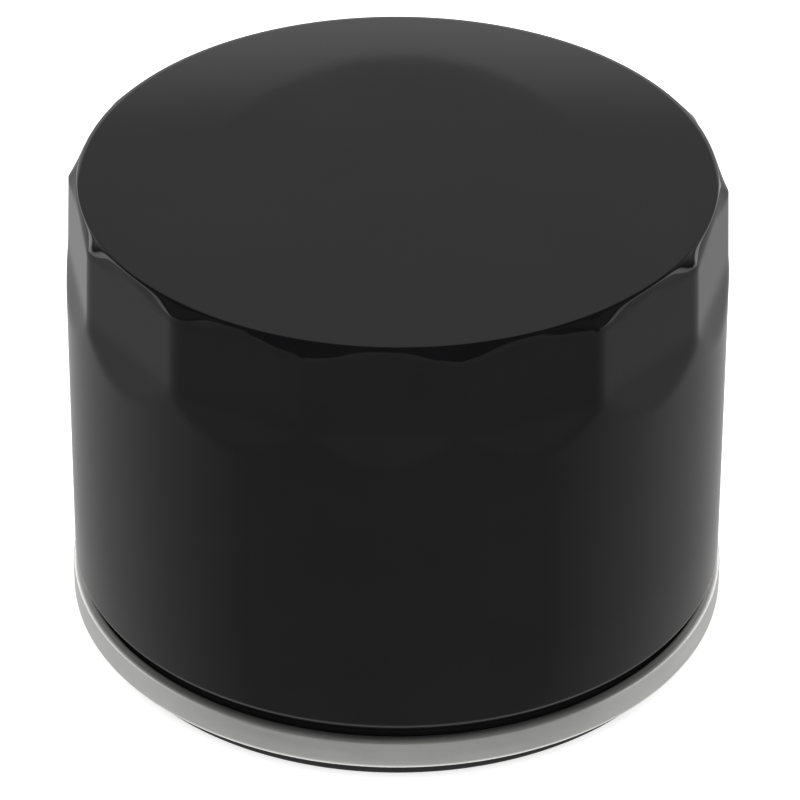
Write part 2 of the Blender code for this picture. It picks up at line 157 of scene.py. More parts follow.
def turned(outline, steps=ROUND, closed=True, start=0.0):
    """Spins an outline about Z. An open outline begins and ends on the axis."""
    bm = bmesh.new()
    points = rounded(outline, closed)
    verts = [bm.verts.new((r * math.cos(start), r * math.sin(start), z)) for r, z in points]
    edges = [bm.edges.new(pair) for pair in zip(verts, verts[1:])]
    if closed:
        edges.append(bm.edges.new((verts[-1], verts[0])))
    bmesh.ops.spin(
        bm, geom=verts + edges, cent=(0, 0, 0), axis=(0, 0, 1), angle=math.tau, steps=steps, use_merge=True
    )
    bmesh.ops.remove_doubles(bm, verts=bm.verts, dist=0.0005)
    return bm


def to_object(name, bm, material):
    """Scales bm to metres and makes it an object at the origin, smooth between its sharp and open edges."""
    bmesh.ops.recalc_face_normals(bm, faces=bm.faces)
    bmesh.ops.scale(bm, verts=bm.verts, vec=(MM, MM, MM))
    mesh = bpy.data.meshes.new(name)
    bm.to_mesh(mesh)
    open_edges = [e.index for e in bm.edges if e.is_boundary]
    bm.free()
    mesh.shade_smooth()
    mesh.set_sharp_from_angle(angle=math.radians(32.0))
    for index in open_edges:
        mesh.edges[index].use_edge_sharp = True
    mesh.materials.append(material)
    piece = bpy.data.objects.new(name, mesh)
    bpy.context.scene.collection.objects.link(piece)
    return piece


def fit(piece, body, node):
    """Puts a finished piece on its body in place of its node."""
    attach(piece, body)
    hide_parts(node)
    return piece


def drilled(bm, cutter_bm):
    """bm with the closed shapes of cutter_bm taken out of it."""
    solid, cutter = to_object("uncut", bm, None), to_object("cutter", cutter_bm, None)
    modifier = solid.modifiers.new("cut", "BOOLEAN")
    modifier.operation = "DIFFERENCE"
    modifier.object = cutter
    graph = bpy.context.evaluated_depsgraph_get()
    result = bmesh.new()
    result.from_mesh(solid.evaluated_get(graph).to_mesh())
    bmesh.ops.scale(result, verts=result.verts, vec=(1 / MM,) * 3)
    for helper in (solid, cutter):
        mesh = helper.data
        bpy.data.objects.remove(helper)
        bpy.data.meshes.remove(mesh)
    return result


def helix(bm, loop, turns, pitch, steps_per_turn):
    """Spins a loop of verts and edges up a helix of any number of turns. Returns the last loop."""
    steps = round(turns * steps_per_turn)
    made = bmesh.ops.spin(
        bm, geom=loop, cent=(0, 0, 0), axis=(0, 0, 1), angle=math.tau * turns,
        dvec=(0, 0, pitch / steps_per_turn), steps=steps, use_merge=False,
    )
    return made["geom_last"]


def soft_min(a, b, width):
    """The smaller of two radii, with the edge between them rounded over the given width."""
    share = min(max(0.5 + 0.5 * (b - a) / width, 0.0), 1.0)
    return b + (a - b) * share - width * share * (1.0 - share)


# ---------------------------------------------------------------- can and seam


def wall_radius(depth, angle):
    """Radius of the can's outer face at a depth below the closed end, with the flats pressed in."""
    plain = CAN_RADIUS - WALL_DRAFT * max(0.0, 1.0 - depth / PLAIN_DEPTH)
    apothem = FLAT_APOTHEM + FLAT_DRAFT * depth
    apothem -= RUNOUT_SLOPE * soft_min(FLAT_LENGTH - depth, 0.0, 1.2)
    turn = (angle + math.pi / 2) % FLAT_ANGLE
    away = min(turn, FLAT_ANGLE - turn)
    faces = soft_min(apothem / math.cos(away), apothem / math.cos(FLAT_ANGLE - away), 0.16)
    return soft_min(faces, plain, 0.22)


def make_can(material):
    """Deep-drawn cup: closed end, soft shoulder, flats with soft run-outs, neck, and hook in the seam."""
    outer, inner = CAN_RADIUS, CAN_RADIUS - SHEET
    grow = outer - RIM_RADIUS
    rows = [2.2, 3.0, 4.5, 6.5, 8.5, 9.6]
    rows += [10.3 + 0.42 * i for i in range(19)]
    rows += [19.5, 22.0, 27.0, 33.0, 40.0]
    outline = [(0.0, CAN_TOP), (6.0, CAN_TOP), (16.0, CAN_TOP), (26.0, CAN_TOP), (33.0, CAN_TOP)]
    outline += [(RIM_RADIUS - 0.4, CAN_TOP)]
    for i in range(13):
        t = math.radians(90.0 * i / 12)
        outline.append((RIM_RADIUS + grow * math.sin(t), CAN_TOP - SHOULDER * (1.0 - math.cos(t))))
    outline += [(outer, CAN_TOP - depth) for depth in rows]
    low = SEAM_BOTTOM
    outline += [(outer, NECK_TOP, 0.5), (37.2, NECK_TOP - 0.9, 0.3), (NECK_RADIUS, SEAM_TOP + 0.2, 0.3)]
    outline += [(NECK_RADIUS, low + 0.95), (37.42, low + 0.95), (37.42, HOOK_TOP), (37.77, HOOK_TOP)]
    outline += [(37.77, low + 0.5, 0.25), (NECK_RADIUS - 0.35, low + 0.5, 0.25)]
    outline += [(NECK_RADIUS - 0.35, SEAM_TOP + 0.35, 0.2), (36.95, NECK_TOP - 0.7, 0.2)]
    outline += [(inner, NECK_TOP + 0.1, 0.4)]
    outline += [(inner, CAN_TOP - depth) for depth in reversed(rows)]
    outline += [(inner, CAN_TOP - SHOULDER - 0.1, 0.5), (RIM_RADIUS - 0.3, CAN_TOP - SHEET, 0.4)]
    outline += [(26.0, CAN_TOP - SHEET), (12.0, CAN_TOP - SHEET), (0.0, CAN_TOP - SHEET)]
    bm = turned(outline, FINE, closed=False, start=-math.pi / 2)
    for v in bm.verts:
        depth = CAN_TOP - v.co.z
        radius = v.co.xy.length
        if radius < RIM_RADIUS or depth > PLAIN_DEPTH:
            continue
        wall = wall_radius(max(depth, SHOULDER), math.atan2(v.co.y, v.co.x))
        if depth < SHOULDER - 1e-4:
            # Over the shoulder the flats fade out upward, so that the rim stays round.
            weight = (max(depth, 0.0) / SHOULDER) ** 0.8
            share = (radius - RIM_RADIUS) / grow
            reach = RIM_GROW + (wall - RIM_RADIUS - RIM_GROW) * weight
            v.co.xy *= (RIM_RADIUS + share * reach) / radius
        else:
            v.co.xy *= wall / outer
    fit(to_object("can_skin", bm, material), "root", "can_shell")


def make_lid(material):
    """Thin lid with a gasket channel, rolled round the can's hook: its rim is the bare bead."""
    low, high, floor, wall = SEAM_BOTTOM, SEAM_TOP, LID_FLOOR, LID_WALL
    outline = [(LID_HOLE, floor, 0.15), (27.6, floor, 0.6), (28.5, low, 0.5), (29.5, low, 0.5)]
    outline += [(30.4, floor, 0.5), (wall, floor, 0.2), (wall, low, 0.55)]
    outline += [(SEAM_RADIUS, low, 0.6), (SEAM_RADIUS, high, 0.55), (37.0, high, 0.35)]
    outline += [(37.0, low + 1.5), (37.35, low + 1.5), (37.35, high - 0.6, 0.15), (37.85, high - 0.6, 0.15)]
    outline += [(37.85, low + 0.4, 0.25), (wall + SHEET, low + 0.4, 0.25)]
    outline += [(wall + SHEET, floor + SHEET, 0.5), (30.1, floor + SHEET, 0.5), (29.2, low + 0.4, 0.3)]
    outline += [(28.8, low + 0.4, 0.3), (27.9, floor + SHEET, 0.5), (LID_HOLE, floor + SHEET, 0.15)]
    fit(to_object("rolled_seam_lid", turned(outline, FINE), material), "root", "seaming_lid")


def make_sealant(material):
    """A bead of compound that fills the fold of the seam, a little uneven along its top."""
    radius, low, high = span("seam_sealant")
    inner = radius - 0.34
    outline = [(inner, low, 0.05), (radius, low, 0.05), (radius, high, 0.16), (inner, high, 0.16)]
    bm = turned(outline, FINE)
    for v in bm.verts:
        angle = math.atan2(v.co.y, v.co.x)
        if v.co.z > (low + high) / 2:
            v.co.z -= 0.03 * (1.0 + math.sin(17 * angle) * math.cos(41 * angle + 1.0))
    fit(to_object("seam_compound_bead", bm, material), "root", "seam_sealant")


def make_gasket(material):
    """Moulded square ring: a flat sealing face with soft edges and a fine flash line half way up."""
    inner, outer, high = GASKET_INNER, GASKET_OUTER, GASKET_HEIGHT
    middle = high / 2
    outline = [(inner, 0.0, 0.4), (outer, 0.0, 0.3), (outer, middle - 0.12), (outer, middle, 0.05)]
    outline += [(outer, middle + 0.12), (outer, high, 0.35), (inner, high, 0.35)]
    outline += [(inner, middle + 0.12), (inner - 0.06, middle), (inner, middle - 0.12)]
    fit(to_object("gasket_ring", turned(outline, FINE), material), "root", "gasket")


# ---------------------------------------------------------------- base plate and valve


def inlet_drills():
    """Rods that stand where the inlet holes go."""
    bm = bmesh.new()
    for i in range(INLET_COUNT):
        turn = Matrix.Rotation(math.tau * (i + 0.5) / INLET_COUNT, 4, "Z")
        place = turn @ Matrix.Translation((INLET_CIRCLE, 0.0, (PLATE_BOTTOM + PLATE_TOP) / 2))
        bmesh.ops.create_cone(
            bm, cap_ends=True, segments=40, radius1=INLET_RADIUS, radius2=INLET_RADIUS, depth=6.0,
            matrix=place,
        )
    return bm


def make_base_plate(material):
    """Thick pressed plate: raised collar, tapped through, with a ring of drilled inlet holes."""
    low, high, top = PLATE_BOTTOM, PLATE_TOP, COLLAR_TOP
    bore = THREAD_MAJOR
    outline = [(bore + 0.8, low), (PLATE_RADIUS, low, 0.4), (PLATE_RADIUS, high, 0.5)]
    outline += [(COLLAR_RADIUS, high, 0.4), (COLLAR_RADIUS, top, 0.5), (bore + 0.25, top), (bore, top - 0.35)]
    outline += [(bore, low + 0.8)]
    bm = drilled(turned(outline, ROUND), inlet_drills())
    root, flank = 0.8 * THREAD_PITCH / 2, THREAD_PITCH / 16
    start = low + 0.75
    section = [(bore + 0.1, -root), (THREAD_MINOR, -flank), (THREAD_MINOR, flank), (bore + 0.1, root)]
    corners = [bm.verts.new((r, 0.0, start + z + root)) for r, z in section]
    loop = corners + [bm.edges.new((corners[i - 1], corners[i])) for i in range(4)]
    first = bm.faces.new(corners)
    turns = (top - low - 1.1 - 2 * root) / THREAD_PITCH
    last = helix(bm, loop, turns, THREAD_PITCH, 48)
    bm.faces.new([v for v in last if isinstance(v, bmesh.types.BMVert)])
    first.normal_update()
    fit(to_object("tapped_base_plate", bm, material), "root", "base_plate")


def make_valve(material):
    """Moulded rubber valve: thick hub clamped round the collar, and a thin flap that seals on its lip."""
    hub, hole, seat = COLLAR_RADIUS + 0.3, LOWER_CAP_HOLE + 0.4, PLATE_TOP + 0.1
    outline = [(hub, PLATE_TOP + 0.35, 0.15), (hub, COLLAR_TOP + 0.15, 0.2), (hole, COLLAR_TOP + 0.15, 0.15)]
    outline += [(hole, VALVE_TOP, 0.2), (12.6, VALVE_TOP), (12.9, VALVE_TOP - 0.12), (13.2, VALVE_TOP)]
    outline += [(15.8, VALVE_TOP, 0.25), (15.8, 13.3, 0.3), (14.2, 12.8, 0.4), (14.2, 11.8, 0.4)]
    outline += [(15.2, 11.35, 0.4)]
    outline += [(19.4, 10.55, 0.3), (19.8, 10.7, 0.15), (20.2, 10.4, 0.3)]
    outline += [(VALVE_LIP - 1.4, 9.5, 0.8), (VALVE_LIP, 9.1, 0.3), (VALVE_LIP, seat, 0.15)]
    outline += [(VALVE_LIP - 1.0, seat, 0.2), (VALVE_LIP - 1.7, 8.75, 0.5), (14.9, 10.3, 0.4)]
    outline += [(14.2, 9.9, 0.3), (14.2, PLATE_TOP + 0.35, 0.15)]
    valve = to_object("drainback_flap", turned(outline, ROUND), material)
    fit(valve, "anti_drainback", "anti_drainback_valve")
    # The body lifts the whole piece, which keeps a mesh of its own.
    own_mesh(valve)


# ---------------------------------------------------------------- filter element


def make_lower_cap(material):
    """Open end of the element: a shallow cup with the outlet hole in its middle."""
    low, inside, rim = LOWER_CAP, LOWER_CAP + CAP_SHEET, LOWER_CAP_RIM
    bore = CAP_RADIUS - CAP_SHEET
    outline = [(LOWER_CAP_HOLE, low, 0.12), (CAP_RADIUS, low, 0.9), (CAP_RADIUS, rim - 0.4)]
    outline += [(CAP_RADIUS, rim, 0.1), (bore, rim, 0.1), (bore, inside, 0.5)]
    outline += [(LOWER_CAP_HOLE, inside, 0.12)]
    fit(to_object("open_end_cap", turned(outline), material), "element", "lower_end_cap")


def make_upper_cap(material):
    """Closed end of the element, with a raised boss and a shallow stiffening groove."""
    top = BOSS_TOP - 0.5
    inside, rim, bore = top - CAP_SHEET, UPPER_CAP_RIM, CAP_RADIUS - CAP_SHEET
    outline = [(BYPASS_HOLE, BOSS_TOP, 0.12), (BOSS_RADIUS, BOSS_TOP, 0.3), (BOSS_RADIUS + 0.6, top, 0.3)]
    outline += [(21.4, top, 0.5), (22.2, top - 0.15, 0.4), (23.0, top, 0.5)]
    outline += [(CAP_RADIUS, top, 0.9), (CAP_RADIUS, rim, 0.1), (bore, rim, 0.1), (bore, inside, 0.5)]
    outline += [(BOSS_RADIUS + 0.4, inside, 0.2), (BOSS_RADIUS - 0.2, inside + 0.5, 0.2)]
    outline += [(BYPASS_HOLE, inside + 0.5, 0.12)]
    fit(to_object("boss_end_cap", turned(outline), material), "element", "upper_end_cap")


def make_potting(name, node, low, high, skin_up, material):
    """Adhesive poured in an end cap: level where it was poured, drawn up a little at its edges."""
    inner, outer, rise = 13.7, 30.4, 0.25
    face = [(outer, rise), (outer - 1.0, 0.0), (outer - 3.0, -0.08), (inner + 3.0, -0.08), (inner + 1.0, 0.0)]
    face += [(inner, rise)]
    if skin_up:
        outline = [(inner, low), (outer, low)] + [(r, high - rise + z) for r, z in face]
    else:
        outline = [(outer, high), (inner, high)] + [(r, low + rise - z) for r, z in reversed(face)]
    fit(to_object(name, turned(outline), material), "element", node)


def make_paper(material):
    """One fold of paper, bent round at its crest and its root, repeated round the tube and joined."""
    bm = bmesh.new()
    half, bend, points = math.pi / PLEATS, 0.5, []
    for i in range(9):
        t = math.pi * i / 8
        points.append((PLEAT_INNER + bend - bend * math.sin(t), -half, -bend * math.cos(t)))
    for i in range(9):
        t = math.pi * i / 8
        points.append((PLEAT_OUTER - bend + bend * math.sin(t), 0.0, -bend * math.cos(t)))
    points = points[4:] + [(r, a + 2 * half, side) for r, a, side in points[:5]]
    line = []
    for r, a, side in points:
        angle = a + side / r
        line.append(bm.verts.new((r * math.cos(angle), r * math.sin(angle), PAPER_LOW)))
    edges = [bm.edges.new(pair) for pair in zip(line, line[1:])]
    bmesh.ops.spin(
        bm, geom=line + edges, cent=(0, 0, 0), axis=(0, 0, 1), angle=math.tau, steps=PLEATS,
        use_duplicate=True, use_merge=True,
    )
    bmesh.ops.remove_doubles(bm, verts=bm.verts, dist=0.02)
    rows = 12
    ring = list(bm.edges)
    for _ in range(rows):
        grown = bmesh.ops.extrude_edge_only(bm, edges=ring)["geom"]
        raised = [v for v in grown if isinstance(v, bmesh.types.BMVert)]
        bmesh.ops.translate(bm, verts=raised, vec=(0, 0, (PAPER_HIGH - PAPER_LOW) / rows))
        ring = [e for e in grown if isinstance(e, bmesh.types.BMEdge)]
    bmesh.ops.recalc_face_normals(bm, faces=bm.faces)
    piece = to_object("pleated_paper", bm, material)
    wall = piece.modifiers.new("paper thickness", "SOLIDIFY")
    wall.thickness = PAPER * MM
    wall.offset = 0.0
    fit(piece, "element", "pleated_media")


def make_clip(material):
    """Folded metal channel crimped over the fold where the two ends of the paper meet."""
    deep, tip, sheet = 27.0, 30.0, 0.3
    sides = [(deep, -1.65), (deep, -1.35), (tip, -0.95), (tip, 0.95), (deep, 1.35), (deep, 1.65)]
    sides += [(tip + sheet, 1.25), (tip + sheet, -1.25)]
    bm = bmesh.new()
    face = bm.faces.new([bm.verts.new((x, y, CLIP_LOW)) for x, y in sides])
    rows = 5
    for _ in range(rows):
        grown = bmesh.ops.extrude_face_region(bm, geom=[face])["geom"]
        raised = [v for v in grown if isinstance(v, bmesh.types.BMVert)]
        bmesh.ops.translate(bm, verts=raised, vec=(0, 0, (CLIP_HIGH - CLIP_LOW) / rows))
        face = next(f for f in grown if isinstance(f, bmesh.types.BMFace))
    # Each step leaves the face it grew from inside the channel.
    level = [f for f in bm.faces if abs(f.normal.z) > 0.99 and f is not face]
    inside = [f for f in level if f.calc_center_median().z > CLIP_LOW + 0.1]
    bmesh.ops.delete(bm, geom=inside, context="FACES")
    bmesh.ops.recalc_face_normals(bm, faces=bm.faces)
    corners = [e for e in bm.edges if len(e.link_faces) == 2 and e.calc_face_angle() > 0.5]
    bmesh.ops.bevel(bm, geom=corners, offset=0.08, segments=2, affect="EDGES", profile=0.5, material=-1)
    fit(to_object("seam_channel", bm, material), "element", "media_seam_clip")


def make_tube(material):
    """Steel strip rolled to a tube, with rows of round holes punched in it."""
    columns, rows, around = TUBE_COLUMNS, TUBE_ROWS, 24
    middle = TUBE_RADIUS - TUBE_SHEET / 2
    wide, tall = math.tau * middle / columns, (TUBE_HIGH - TUBE_LOW) / rows
    cell = bmesh.new()
    hole = bmesh.ops.create_circle(cell, segments=around, radius=TUBE_HOLE)["verts"]
    edge = bmesh.ops.create_circle(cell, segments=around, radius=1.0)["verts"]
    for v in edge:
        v.co *= 0.5 / max(abs(v.co.x), abs(v.co.y))
        v.co.x, v.co.y = round(v.co.x, 4) * wide, round(v.co.y, 4) * tall
    bmesh.ops.bridge_loops(cell, edges=cell.edges[:])
    flat = bpy.data.meshes.new("tube cell")
    cell.to_mesh(flat)
    cell.free()
    bm = bmesh.new()
    for column in range(columns):
        for row in range(rows):
            before = len(bm.verts)
            bm.from_mesh(flat)
            bm.verts.ensure_lookup_table()
            shift = (wide * (column + 0.5), tall * (row + 0.5), 0.0)
            bmesh.ops.translate(bm, verts=bm.verts[before:], vec=shift)
    bpy.data.meshes.remove(flat)
    bmesh.ops.remove_doubles(bm, verts=bm.verts, dist=0.01)
    for v in bm.verts:
        angle, height = v.co.x / middle, v.co.y
        v.co = (middle * math.cos(angle), middle * math.sin(angle), TUBE_LOW + height)
    bmesh.ops.remove_doubles(bm, verts=bm.verts, dist=0.01)
    bmesh.ops.recalc_face_normals(bm, faces=bm.faces)
    piece = to_object("perforated_tube", bm, material)
    wall = piece.modifiers.new("sheet thickness", "SOLIDIFY")
    wall.thickness = TUBE_SHEET * MM
    wall.offset = 0.0
    fit(piece, "element", "center_tube")


def make_bypass_valve(zinc, rubber):
    """Seat seal, disc and the perforated cup that holds the spring, under the upper end cap."""
    seal = [(BYPASS_HOLE + 0.3, SEAT_LOW, 0.1), (7.3, SEAT_LOW, 0.1), (7.3, SEAT_HIGH, 0.1)]
    seal += [(BYPASS_HOLE + 0.3, SEAT_HIGH, 0.1)]
    fit(to_object("bypass_seat_ring", turned(seal, SMALL), rubber), "element", "bypass_seat_seal")

    under = DISC_TOP - 0.7
    disc = [(0.0, DISC_TOP), (3.0, DISC_TOP), (DISC_RADIUS, DISC_TOP, 0.2), (DISC_RADIUS, under, 0.2)]
    disc += [(3.3, under, 0.15), (3.3, DISC_BOTTOM, 0.45), (0.0, DISC_BOTTOM)]
    disc_bm = turned(disc, SMALL, closed=False)
    fit(to_object("bypass_disc", disc_bm, zinc), "bypass", "bypass_valve_disc")

    floor, bore, top = CAGE_BOTTOM + CAP_SHEET, CAGE_RADIUS - CAP_SHEET, CAGE_TOP
    cage = [(2.2, CAGE_BOTTOM, 0.1), (CAGE_RADIUS, CAGE_BOTTOM, 0.8), (CAGE_RADIUS, top - CAP_SHEET, 0.3)]
    cage += [(CAGE_FLANGE, top - CAP_SHEET, 0.1), (CAGE_FLANGE, top, 0.1), (bore, top, 0.5)]
    cage += [(bore, floor, 0.5), (2.2, floor, 0.1)]
    windows = bmesh.new()
    for wide, deep in ((40.0, 6.0), (6.0, 40.0)):
        block = bmesh.ops.create_cube(windows, size=1.0)["verts"]
        bmesh.ops.scale(windows, verts=block, vec=(wide, deep, 5.0))
        bmesh.ops.translate(windows, verts=block, vec=(0.0, 0.0, CAGE_BOTTOM + 4.6))
    upright = [e for e in windows.edges if abs((e.verts[0].co - e.verts[1].co).z) < 1e-6]
    bmesh.ops.bevel(windows, geom=upright, offset=0.7, segments=3, affect="EDGES", profile=0.5, material=-1)
    cage_bm = drilled(turned(cage, SMALL), windows)
    fit(to_object("spring_cup", cage_bm, zinc), "element", "bypass_cage")


def make_spring(name, node, body, wire, radius, turns, material):
    """Compression spring with closed ends: the first and last half turn lie flat."""
    low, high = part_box(node)
    bottom, top = low.z / MM + wire / 2, high.z / MM - wire / 2
    bm = bmesh.new()
    upright = Matrix.Translation((radius, 0, bottom)) @ Matrix.Rotation(math.pi / 2, 4, "X")
    start = bmesh.ops.create_circle(bm, cap_ends=False, segments=14, radius=wire / 2, matrix=upright)["verts"]
    loop = start + bm.edges[:]
    pitch = (top - bottom) / (turns - 1.0)
    loop = helix(bm, loop, 0.5, 0.0, 48)
    loop = helix(bm, loop, turns - 1.0, pitch, 48)
    helix(bm, loop, 0.5, 0.0, 48)
    bmesh.ops.remove_doubles(bm, verts=bm.verts, dist=0.0005)
    bmesh.ops.holes_fill(bm, edges=bm.edges, sides=14)
    return fit(to_object(name, bm, material), body, node), top - bottom + wire


def make_springs(material):
    """The element's spring and the bypass valve's spring, each with a mesh of its own."""
    heavy, length = make_spring("element_coil_spring", "element_spring", "root", 2.0, 15.0, 2.5, material)
    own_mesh(heavy)
    light, length = make_spring("bypass_coil_spring", "bypass_spring", "element", 0.8, 4.2, 4.5, material)
    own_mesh(light)


# ---------------------------------------------------------------- finishes


def srgb(code):
    """Linear colour of an sRGB hex value."""
    parts = [int(code[i:i + 2], 16) / 255 for i in (1, 3, 5)]
    return (*[c / 12.92 if c < 0.04045 else ((c + 0.055) / 1.055) ** 2.4 for c in parts], 1.0)


def add(tree, kind, inputs=None, **settings):
    """Adds a node. An input is a value, or the socket that it is linked from."""
    node = tree.nodes.new("ShaderNode" + kind)
    for name, value in settings.items():
        setattr(node, name, value)
    for place, value in (inputs or {}).items():
        if isinstance(value, bpy.types.NodeSocket):
            tree.links.new(value, node.inputs[place])
        else:
            node.inputs[place].default_value = value
    return node


def surface(name, **values):
    """A material with a Principled shader. Returns it, its tree, the shader and the position socket."""
    material = bpy.data.materials.new(name)
    material.use_nodes = True
    tree = material.node_tree
    shader = tree.nodes["Principled BSDF"]
    for place, value in values.items():
        shader.inputs[place.replace("_", " ")].default_value = value
    place = add(tree, "TexCoord").outputs["Object"]
    return material, tree, shader, place


def per_mm(size):
    """Noise scale that gives features of that many millimetres."""
    return 1.0 / (size * MM)


def shade(tree, shader, fac, first, last, low=0.3, high=0.7):
    """Base colour that runs from one hex colour to another with fac."""
    ramp = add(tree, "ValToRGB", {"Fac": fac})
    ramp.color_ramp.elements[0].position, ramp.color_ramp.elements[1].position = low, high
    ramp.color_ramp.elements[0].color, ramp.color_ramp.elements[1].color = srgb(first), srgb(last)
    tree.links.new(ramp.outputs["Color"], shader.inputs["Base Color"])


def roughen(tree, shader, fac, low, high):
    """Roughness that runs from low to high with fac."""
    spread = add(tree, "MapRange", {"Value": fac, "To Min": low, "To Max": high})
    tree.links.new(spread.outputs["Result"], shader.inputs["Roughness"])


def relief(tree, shader, height, depth_mm, strength):
    """Bumps of that many millimetres."""
    bump = add(tree, "Bump", {"Height": height, "Distance": depth_mm * MM, "Strength": strength})
    tree.links.new(bump.outputs["Normal"], shader.inputs["Normal"])


def around_axis(tree, place):
    """Position unrolled about Z: distance along the turn, radius and height, in metres."""
    parts = add(tree, "SeparateXYZ", {"Vector": place})
    x, y, z = parts.outputs
    angle = add(tree, "Math", {0: y, 1: x}, operation="ARCTAN2")
    flat = add(tree, "CombineXYZ", {"X": x, "Y": y})
    radius = add(tree, "VectorMath", {0: flat.outputs[0]}, operation="LENGTH")
    along = add(tree, "Math", {0: angle.outputs[0], 1: radius.outputs["Value"]}, operation="MULTIPLY")
    return add(tree, "CombineXYZ", {"X": along.outputs[0], "Y": radius.outputs["Value"], "Z": z}).outputs[0]


def black_enamel():
    """Baked gloss enamel, sprayed on drawn steel: near-black, mirror-like, with a trace of orange peel."""
    material, tree, shader, place = surface("gloss black baked enamel", IOR=1.5, Metallic=0.0)
    peel = add(tree, "TexNoise", {"Vector": place, "Scale": per_mm(2.4), "Detail": 2.0, "Roughness": 0.4})
    cloud = add(tree, "TexNoise", {"Vector": place, "Scale": per_mm(14.0), "Detail": 3.0, "Roughness": 0.6})
    shade(tree, shader, cloud.outputs["Fac"], "#0b0b0c", "#0e0e0f")
    roughen(tree, shader, cloud.outputs["Fac"], 0.012, 0.035)
    relief(tree, shader, peel.outputs["Fac"], 0.002, 0.12)
    return material


def tinplate():
    """Bright tinplate gone satin under the seaming rolls: pale grey, soft streaks along the turn."""
    material, tree, shader, place = surface("rolled tinplate", Metallic=1.0)
    unrolled = around_axis(tree, place)
    stretched = add(tree, "Mapping", {"Vector": unrolled, "Scale": (0.03, 1.0, 1.0)})
    streak = add(tree, "TexNoise", {"Vector": stretched.outputs[0], "Scale": per_mm(0.35), "Detail": 4.0})
    cloud = add(tree, "TexNoise", {"Vector": place, "Scale": per_mm(6.0), "Detail": 4.0, "Roughness": 0.6})
    shade(tree, shader, cloud.outputs["Fac"], "#e2e2e0", "#eeeeec", 0.25, 0.75)
    roughen(tree, shader, streak.outputs["Fac"], 0.30, 0.42)
    relief(tree, shader, streak.outputs["Fac"], 0.012, 0.5)
    return material


def zinc_plate():
    """Zinc plate with a clear passivate: cool grey, finely crystalline, faintly blue and straw patches."""
    material, tree, shader, place = surface("clear passivated zinc plate", Metallic=1.0)
    grain = add(tree, "TexVoronoi", {"Vector": place, "Scale": per_mm(0.7)})
    cloud = add(tree, "TexNoise", {"Vector": place, "Scale": per_mm(5.0), "Detail": 5.0})
    shade(tree, shader, cloud.outputs["Fac"], "#b4bac0", "#c9c6b8")
    roughen(tree, shader, grain.outputs["Distance"], 0.30, 0.46)
    relief(tree, shader, cloud.outputs["Fac"], 0.01, 0.4)
    return material


def spring_wire():
    """Oil-tempered spring wire: dark brown-grey scale with long die marks."""
    material, tree, shader, place = surface("oil-tempered spring wire", Metallic=1.0)
    unrolled = around_axis(tree, place)
    stretched = add(tree, "Mapping", {"Vector": unrolled, "Scale": (0.04, 1.0, 1.0)})
    marks = add(tree, "TexNoise", {"Vector": stretched.outputs[0], "Scale": per_mm(0.25), "Detail": 3.0})
    scale = add(tree, "TexNoise", {"Vector": place, "Scale": per_mm(3.0), "Detail": 5.0})
    shade(tree, shader, scale.outputs["Fac"], "#5b5753", "#7b7977")
    roughen(tree, shader, marks.outputs["Fac"], 0.26, 0.44)
    relief(tree, shader, marks.outputs["Fac"], 0.02, 0.4)
    return material


def rubber(name, dark, light, rough, grain):
    """Compression-moulded rubber: matt black with a fine mould texture and a trace of pale bloom."""
    material, tree, shader, place = surface(name, IOR=1.52, Metallic=0.0)
    skin = add(tree, "TexNoise", {"Vector": place, "Scale": per_mm(grain), "Detail": 3.0})
    bloom = add(tree, "TexNoise", {"Vector": place, "Scale": per_mm(7.0), "Detail": 6.0, "Roughness": 0.65})
    shade(tree, shader, bloom.outputs["Fac"], dark, light, 0.4, 0.8)
    roughen(tree, shader, bloom.outputs["Fac"], rough, rough + 0.15)
    relief(tree, shader, skin.outputs["Fac"], 0.03, 0.5)
    return material


def compound():
    """Seam compound, a latex paste dried to a matt grey skin."""
    material, tree, shader, place = surface("dried seam compound", IOR=1.5)
    skin = add(tree, "TexNoise", {"Vector": place, "Scale": per_mm(0.8), "Detail": 4.0})
    shade(tree, shader, skin.outputs["Fac"], "#7d827d", "#9aa09a")
    roughen(tree, shader, skin.outputs["Fac"], 0.55, 0.75)
    relief(tree, shader, skin.outputs["Fac"], 0.05, 0.6)
    return material


def plastisol():
    """Plastisol potting, poured and cured: brick red, waxy, with small pits from trapped air."""
    material, tree, shader, place = surface("cured plastisol", IOR=1.53)
    flow = add(tree, "TexNoise", {"Vector": place, "Scale": per_mm(4.0), "Detail": 4.0})
    pits = add(tree, "TexVoronoi", {"Vector": place, "Scale": per_mm(1.6)})
    dent = add(tree, "MapRange", {"Value": pits.outputs["Distance"], "From Min": 0.0, "From Max": 0.22})
    shade(tree, shader, flow.outputs["Fac"], "#6d2417", "#8c3421")
    roughen(tree, shader, flow.outputs["Fac"], 0.32, 0.5)
    relief(tree, shader, dent.outputs["Result"], 0.06, 0.5)
    return material


def filter_paper():
    """Resin-treated cellulose paper: honey brown, matt, with felted fibres and fine corrugations."""
    material, tree, shader, place = surface("resin-treated filter paper", IOR=1.45)
    felt = add(tree, "Mapping", {"Vector": place, "Scale": (1.0, 1.0, 0.35)})
    fibre = add(tree, "TexNoise", {"Vector": felt.outputs[0], "Scale": per_mm(0.4), "Detail": 6.0,
                                   "Roughness": 0.7})
    ribs = add(tree, "TexWave", {"Vector": place, "Scale": per_mm(2.2) / math.tau * 2, "Distortion": 0.6},
               bands_direction="Z")
    shade(tree, shader, fibre.outputs["Fac"], "#b98d4f", "#d9b67a")
    roughen(tree, shader, fibre.outputs["Fac"], 0.75, 0.95)
    both = add(tree, "Math", {0: fibre.outputs["Fac"], 1: ribs.outputs["Fac"]}, operation="ADD")
    relief(tree, shader, both.outputs[0], 0.06, 0.5)
    return material


# ---------------------------------------------------------------- studio


CAMERA_AZIMUTH = math.radians(2.2)
CAMERA_ELEVATION = math.radians(33.64)


